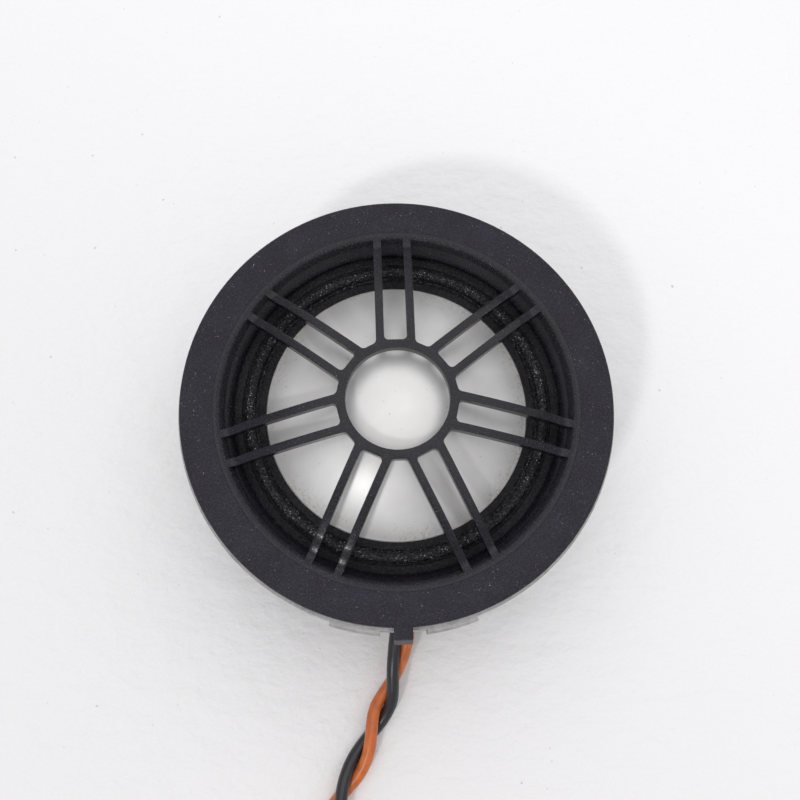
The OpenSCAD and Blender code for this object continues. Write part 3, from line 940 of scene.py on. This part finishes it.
pad_top = top_of("damping_pad")
pad_line = [(0, pad_top)] + [(k, pad_top - 0.18 * (k / 8) ** 2) for k in range(1, 8)]
pad_line += arc_points(7.75, pad_top - 0.75, 0.55, 80, -60, 8)
pad_line += [(8.35, top_plate_top + 0.12), (8.3, top_plate_top), (0, top_plate_top)]
pad = finished(lathe(pad_line, 96), "foam_disc", foam(), "housing")
for v in pad.data.vertices:
    around = math.atan2(v.co.y, v.co.x)
    if v.co.z > (top_plate_top + 0.3) * MM:
        v.co.z += 0.03 * MM * (math.sin(5 * around) + math.sin(11 * around + 1) + math.cos(v.co.x * 2300))
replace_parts(pad, "damping_pad")

# %% [markdown]
# ## Voice coil
# The coil is two layers of copper wire on a film former, glued under the dome. A Geometry Nodes tree
# winds each layer: a spiral of a given height and number of turns is swept with a small round profile.

# %% Former and windings
def film():
    f = Finish("Amber film", (0.50, 0.24, 0.05), 0.3)
    cloud = f.noise(800, detail=3)
    f.feed("Base Color", f.mix(cloud.above(0.3, 0.7), (0.44, 0.19, 0.035), (0.56, 0.29, 0.07)))
    f.feed("Roughness", 0.25 + 0.15 * cloud)
    f.bump(cloud, 0.01)
    return f.material


def enamelled_copper():
    f = Finish("Enamelled copper", (0.75, 0.32, 0.13), 0.28, 0.9)
    cloud = f.noise(1200, detail=3)
    f.feed("Base Color", f.mix(cloud.above(0.3, 0.7), (0.66, 0.25, 0.09), (0.80, 0.38, 0.17)))
    f.feed("Roughness", 0.24 + 0.14 * cloud)
    return f.material


former_low, former_top = (c.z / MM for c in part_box("voice_coil_former"))
former_r = radius_of("voice_coil_former")
former = finished(lathe(section((former_r, former_top, 0.03), (former_r, former_low, 0.03),
                                (former_r - 0.15, former_low, 0.03), (former_r - 0.15, former_top, 0.03))),
                  "film_former", film(), "diaphragm")
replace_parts(former, "voice_coil_former")
copper = enamelled_copper()
winding_low, winding_top = (c.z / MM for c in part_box("voice_coil_winding"))
COPPER_D = 0.17
PITCH_Z = COPPER_D * 1.02
layer_turns = int((winding_top - winding_low - COPPER_D) / PITCH_Z)
winder = Tree("Two layers of turns", Turns=("Float", 1.0), Radius=("Float", 1.0), Height=("Float", 1.0),
              Wire=("Float", 1.0), Finish=("Material", None))


def number(operation, a, b):
    return winder.node("ShaderNodeMath", {"operation": operation}, {0: a, 1: b})


profile = winder.node("GeometryNodeCurvePrimitiveCircle", {}, {
    "Resolution": 6, "Radius": number("MULTIPLY", winder.given("Wire"), 0.5)})
layers = []
for k in (0, 1):
    layer_r = number("ADD", winder.given("Radius"), number("MULTIPLY", winder.given("Wire"), 0.99 * k))
    spiral = winder.node("GeometryNodeCurveSpiral", {}, {
        "Resolution": 72, "Rotations": winder.given("Turns"), "Start Radius": layer_r, "End Radius": layer_r,
        "Height": winder.given("Height")})
    layers.append(winder.node("GeometryNodeCurveToMesh", {}, {"Curve": spiral, "Profile Curve": profile,
                                                              "Fill Caps": True}))
turned = winder.run(bpy.data.meshes.new("nothing"), joined(winder, *layers), Turns=float(layer_turns),
                    Radius=(former_r + COPPER_D / 2) * MM, Height=layer_turns * PITCH_Z * MM,
                    Wire=COPPER_D * MM, Finish=copper)
turned.transform(Matrix.Translation(mm(0, 0, winding_low + COPPER_D / 2)))
winding = finished(turned, "copper_winding", copper, "diaphragm", 80)
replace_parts(winding, "voice_coil_winding")
print("the voice coil has", 2 * layer_turns, "turns")

# %% [markdown]
# ## Lead-outs
# Two flexible tinsel leads carry the signal from the moving coil to the fixed terminals. They are the
# only metal that bends, so each is one smooth tube from the housing up to the diaphragm.

# %% Tinsel leads
TAG_X = 2.6


def tube(name, points, diameter, finish, body="housing"):
    """A smooth round tube along the points, as a mesh."""
    curve = wire(name, smooth_line([Vector(p) for p in points], diameter * 0.4, 12), diameter, finish)
    return finished(made_plain(curve), name, finish, body, 80)


tinsel = worked_metal("Copper tinsel", (0.72, 0.36, 0.17), 0.35, 0.95, 0.12, 0.01, (1, 1, 3), 0.15)
for side, node in ((1, "lead_out_plus"), (-1, "lead_out_minus")):
    bends = [(-13.35, 12.6), (-13.9, 12.3), (-14.6, 12), (-15.6, 12), (-16.6, 12.1), (-17.4, 11.9),
             (-17.8, 11.3), (-17.9, 10.4), (-17.8, 9.2), (-17.4, 8.3), (-16.98, 7.5)]
    lead_out = tube(node.replace("_out", ""), [(side * TAG_X, y, z) for y, z in bends], 0.4, tinsel,
                    None)
    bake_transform(lead_out)
    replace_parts(lead_out, node)

# %% [markdown]
# ## Rear cover
# The cup behind the ring is moulded in the same charcoal plastic. Ribs round its wall give grip, and
# three screws hold it to posts on the casting. Both repeat round the axis, so one tree places any piece
# on a ring of points, turned to face outwards, and leaves out those that stand in the lead's way.

# %% Pieces on a ring of points
def ring_of(name, piece_mesh, count, radius, first, finish, keep_out=-100):
    """Copies of a mesh drawn at the origin, facing +X, on a ring. Points with y under keep_out go."""
    tree = Tree(name, Count=("Int", count), Radius=("Float", 1.0), First_angle=("Float", 0.0),
                Keep_out=("Float", -1.0), Finish=("Material", None))
    points = tree.node("GeometryNodeMeshCircle", {}, {"Vertices": tree.given("Count"),
                                                      "Radius": tree.given("Radius")})
    start = tree.node("ShaderNodeCombineXYZ", {}, {"Z": tree.given("First_angle")})
    points = tree.node("GeometryNodeTransform", {}, {0: points, "Rotation": start})
    place = tree.node("GeometryNodeInputPosition")
    across = tree.node("ShaderNodeSeparateXYZ", {}, {0: place}, out="Y")
    gone = tree.node("FunctionNodeCompare", {"data_type": "FLOAT", "operation": "LESS_THAN"},
                     {0: across, 1: tree.given("Keep_out")})
    points = tree.node("GeometryNodeDeleteGeometry", {"domain": "POINT"}, {0: points, 1: gone})
    facing = tree.node("FunctionNodeAlignRotationToVector", {"axis": "X"}, {"Vector": place})
    copies = tree.node("GeometryNodeInstanceOnPoints", {}, {
        "Points": points, "Instance": tree.start.outputs[0], "Rotation": facing})
    return tree.run(piece_mesh, copies, Count=count, Radius=radius * MM, First_angle=math.radians(first),
                    Keep_out=keep_out * MM, Finish=finish)


print("pieces can stand on a ring")

# %% The cover
cover_finish = moulding("Rear cover moulding", (0.026, 0.024, 0.031), 0.5, 0.2, 0.04, 0.03)
cover_top = top_of("rear_cover")
COVER_R, COVER_WALL, COVER_FLOOR = 19.5, 1.2, 1.6
SCREW_AT, SCREWS, RIBS = 16.85, 3, 24
shell = lathe(section((0, 0, 0), (COVER_R, 0, 0.9), (COVER_R, cover_top, 0.15),
                      (COVER_R - COVER_WALL, cover_top, 0.15), (COVER_R - COVER_WALL, COVER_FLOOR, 0.5),
                      (0, COVER_FLOOR, 0)))
rib = block((-0.35, -0.4, 1), (0.3, 0.4, cover_top - 0.6), 0.18)
ribs = ring_of("Cover ribs", rib, RIBS, COVER_R, 7.5, cover_finish, keep_out=-19)
hole = lathe([(0, -1), (1.75, -1), (1.75, 0.75), (1.6, 0.9), (1.1, 0.9), (1.1, 3), (0, 3)], 48)
holes = ring_of("Screw holes", hole, SCREWS, SCREW_AT, 90, cover_finish)
slot_cut = block((-1.9, -COVER_R - 1, 3), (1.9, -COVER_R + 2.2, 5.4), 0.05)
dish = lathe([(0, -1), (11.5, -1), (11.5, 0.2), (11.2, 0.35), (0, 0.35)], 128)
cover = combined(combined(shell, ribs), holes, slot_cut, dish, operation="DIFFERENCE")
cover = finished(cover, "rear_cover_moulding", cover_finish, "housing")
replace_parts(cover, "rear_cover")

# %% Cover screws
head = lathe(section((0, 6.2, 0), (0.8, 6.2, 0.1), (0.88, 5.9, 0), (0.88, 0.9, 0), (1.55, 0.9, 0.08),
                     (1.55, 0.35, 0.3), (0.9, 0.22, 0), (0, 0.2, 0)), 64)
crosses = [block((-x, -y, -0.1), (x, y, 0.6), 0.03) for x, y in ((0.9, 0.18), (0.18, 0.9))]
screw = combined(head, *crosses, operation="DIFFERENCE")
screw_steel = worked_metal("Black zinc steel", (0.12, 0.12, 0.125), 0.35, 0.9, 0.2, 0.01)
screws = ring_of("Cover screws", screw, SCREWS, SCREW_AT, 90, screw_steel)
screws = finished(screws, "cross_screws", screw_steel, "housing")
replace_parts(screws, "cover_screws")

# %% [markdown]
# ## Terminals and the lead's fittings
# Inside the cover a small laminate board carries two tinned tags. The tinsel leads and the two wires are
# soldered on them. A rubber grommet holds the wires where they leave, a nylon tie holds the coil and a
# two-way plug ends the lead.

# %% Terminals
def plain(name, colour, rough, grain=0.4):
    """Plastic, rubber or laminate: two close tones in a fine grain."""
    f = Finish(name, colour, rough)
    fine = f.noise(1000 / grain, detail=3)
    wide = f.noise(450, detail=2)
    f.feed("Base Color", f.mix((fine * 0.6 + wide * 0.4).above(0.3, 0.7), *toned(colour, 0.75, 1.3)))
    f.feed("Roughness", rough + 0.2 * (fine - 0.5))
    f.bump(fine, 0.02)
    return f.material


laminate = plain("Brown paper laminate", (0.20, 0.095, 0.04), 0.45, 0.25)
tinned = worked_metal("Tinned brass", (0.66, 0.62, 0.52), 0.3, 1.0, 0.4, 0.006)
brass = worked_metal("Plain brass", (0.62, 0.47, 0.19), 0.3, 1.0, 0.4, 0.006)
solder = worked_metal("Bright solder", (0.66, 0.67, 0.69), 0.22, 1.0, 0.5, 0.02)
softened("terminal_board", "laminate_board", laminate, 0.08)
softened("terminal_tag_plus", "tag_plus", tinned, 0.06)
softened("terminal_tag_minus", "tag_minus", tinned, 0.06)
softened("board_rivets", "brass_rivets", brass, 0.08, segments=3)
softened("solder_joints", "solder_beads", solder, 0.1, segments=4)

# %% Inner wires and grommet
for side, node, finish, slot in ((1, "inner_wire_orange", orange_finish, "orange_insulation"),
                                 (-1, "inner_wire_black", black_finish, "black_insulation")):
    bends = [(2.6, -17.28, 5.9), (2.5, -17.28, 5.1), (1.95, -17.3, 4.4), (1.2, -17.4, 4.2), (0.8, -17.8, 4.2),
             (0.7, -18.35, 4.2), (0.7, -19.5, 4.2), (0.7, -20.8, 4.2)]
    inner = tube(node + "_run", [(side * x, y, z) for x, y, z in bends], WIRE_D - 0.06, finish)
    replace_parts(inner, node)
rubber = plain("Matt rubber", (0.02, 0.02, 0.021), 0.7, 0.3)
softened("strain_relief", "wire_grommet", rubber, 0.25, segments=3)

# %% Tie and plug
softened("coil_tie", "nylon_tie", plain("Black nylon", (0.02, 0.02, 0.022), 0.4), 0.12)
softened("connector_housing", "plug_housing", plain("Glass-filled nylon", (0.022, 0.022, 0.024), 0.45, 0.2),
         0.15)
softened("connector_contacts", "plug_contacts", tinned, 0.08)
softened("connector_lock", "plug_lock", plain("Grey nylon", (0.34, 0.34, 0.325), 0.45), 0.1)

# %% [markdown]
# ## Light and floor
# A pale table under soft, nearly even light. A metre-wide softbox overhead gives the broad glow on the
# dome, and a pale sky fills the rest. One small key lamp stands to the left, on the lead's side: it
# gives the faint shadow on the right and the bright lines on the rounded edges that face it.

# %% Floor
def floor_finish():
    """Matt card, faintly wrinkled, with a few specks of dust; its colour is painted paler away from the lead,
    a painted gradient of light.
    """
    f = Finish("Pale table", (0.87, 0.865, 0.87), 0.65, Specular_IOR_Level=0.2)
    wrinkle = f.noise(260, detail=4, rough=0.55, place=f.stretched((1, 1.6, 1)))
    fine = f.noise(1300, detail=2)
    # Painted light: the card is painted paler towards +X and +Y, away from the lead, as if the light were
    # brighter there.
    light_falloff = 0.5 + f.along("X") * 5.0 + f.along("Y") * 6.5
    card = f.mix(light_falloff.above(0, 1), (0.825, 0.817, 0.823), (0.950, 0.941, 0.948))
    dust = f.noise(1500, detail=0).above(0.86, 0.90)
    f.feed("Base Color", f.mix(dust * 0.45, card, (0.42, 0.37, 0.33)))
    f.feed("Roughness", 0.6 + 0.1 * wrinkle)
    f.bump(wrinkle * 0.85 + fine * 0.15, 0.4)
    return f.material


bm = bmesh.new()
bmesh.ops.create_grid(bm, x_segments=1, y_segments=1, size=0.9)
floor = placed("floor", mesh_from(bm, "floor"))
floor.location.z = cad_box[0].z - 0.02 * MM
floor.data.materials.append(floor_finish())
print("floor at", round(floor.location.z / MM, 3), "mm")

# %% Lamps and sky
def lamp(name, place, size, power):
    """A square lamp, aimed at the loudspeaker: place and size in millimetres, power in watts."""
    light = bpy.data.lights.new(name, "AREA")
    light.size = size * MM
    light.energy = power
    holder = placed(name, light)
    holder.location = mm(*place)
    holder.rotation_euler = (look_at - holder.location).to_track_quat("-Z", "Y").to_euler()


lamp("key_lamp", (-200, -318, 455), 50, 0.68)
lamp("softbox", (60, 230, 760), 1000, 3.0)
world = bpy.data.worlds.new("Soft sky")
bpy.context.scene.world = world
world.use_nodes = True
sky = world.node_tree.nodes["Background"].inputs
sky["Color"].default_value = (0.99, 0.985, 1, 1)
sky["Strength"].default_value = 0.6
bpy.context.scene.view_settings.view_transform = "Standard"
print("a key lamp, a softbox and a soft sky")

# %% [markdown]
# ## Everything rides on its body
# The two wires ride on the housing in place of the CAD model's lead.

# %% The wires on the housing
for piece, points in ((black_wire, wires["black_wire"]), (orange_wire, wires["orange_wire"])):
    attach(piece, "housing")
    points[0] * MM
    length_of(points) * MM
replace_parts(orange_wire, "wire_pair", "wire_coil", "wire_end")
